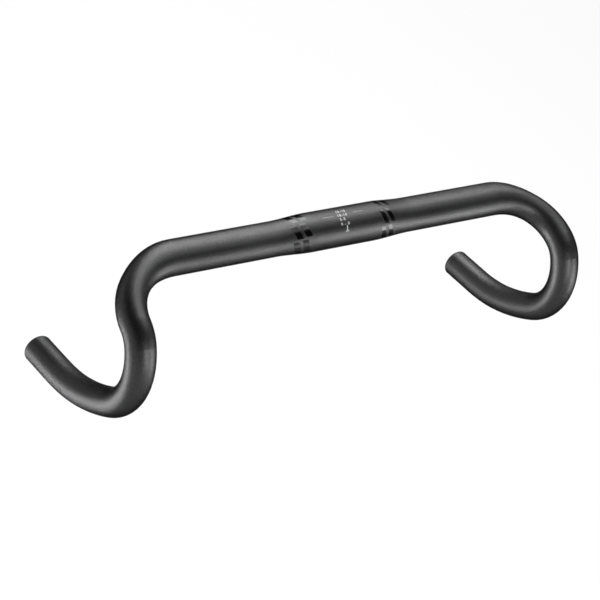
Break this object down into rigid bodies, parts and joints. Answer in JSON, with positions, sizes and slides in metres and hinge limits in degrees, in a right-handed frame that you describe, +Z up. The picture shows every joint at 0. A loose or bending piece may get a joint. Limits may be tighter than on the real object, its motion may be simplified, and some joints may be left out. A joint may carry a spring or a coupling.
{
  "type": "drop handlebar",
  "caption": "Compact drop handlebar for a road bicycle: a bent aluminium tube with flattened tops, hooked drops and an expanding plug in each end.",
  "frame": {"origin": "the middle of the stem clamp zone, on its axis", "axes": "+X to the rider's right along the clamp axis, +Y forward, +Z up"},
  "size_m": [0.454, 0.1186, 0.1644],
  "materials": {
    "black_tube": "matte black, bead blasted",
    "cap_plastic": "moulded, satin",
    "sleeve_rubber": "matte",
    "nut_brass": "turned",
    "screw_steel": "black oxide"
  },
  "bodies": {
    "handlebar": {"handlebar_tube": "black_tube", "right_end_cap": "cap_plastic", "right_expander_sleeve": "sleeve_rubber", "left_end_cap": "cap_plastic", "left_expander_sleeve": "sleeve_rubber"},
    "right_screw": {"right_plug_screw": "screw_steel"},
    "right_nut": {"right_cone_nut": "nut_brass"},
    "left_screw": {"left_plug_screw": "screw_steel"},
    "left_nut": {"left_cone_nut": "nut_brass"}
  },
  "joints": [
    {"name": "right_screw_turn", "type": "hinge", "parent": "handlebar", "child": "right_screw", "pos_m": [0.21513, -0.0262, -0.13767], "axis": [0.018, -0.9342, -0.3564], "range_deg": [0, 1800.5]},
    {"name": "right_nut_slide", "type": "slide", "parent": "handlebar", "child": "right_nut", "axis": [-0.018, 0.9342, 0.3564], "range_m": [0, 0.004]},
    {"name": "left_screw_turn", "type": "hinge", "parent": "handlebar", "child": "left_screw", "pos_m": [-0.21513, -0.0262, -0.13767], "axis": [-0.018, -0.9342, -0.3564], "range_deg": [0, 1800.5]},
    {"name": "left_nut_slide", "type": "slide", "parent": "handlebar", "child": "left_nut", "axis": [0.018, 0.9342, 0.3564], "range_m": [0, 0.004]}
  ],
  "couplings": [
    {"joint": "right_screw_turn", "follows": "right_nut_slide", "rad_per_m": 7854},
    {"joint": "left_screw_turn", "follows": "left_nut_slide", "rad_per_m": 7854}
  ]
}
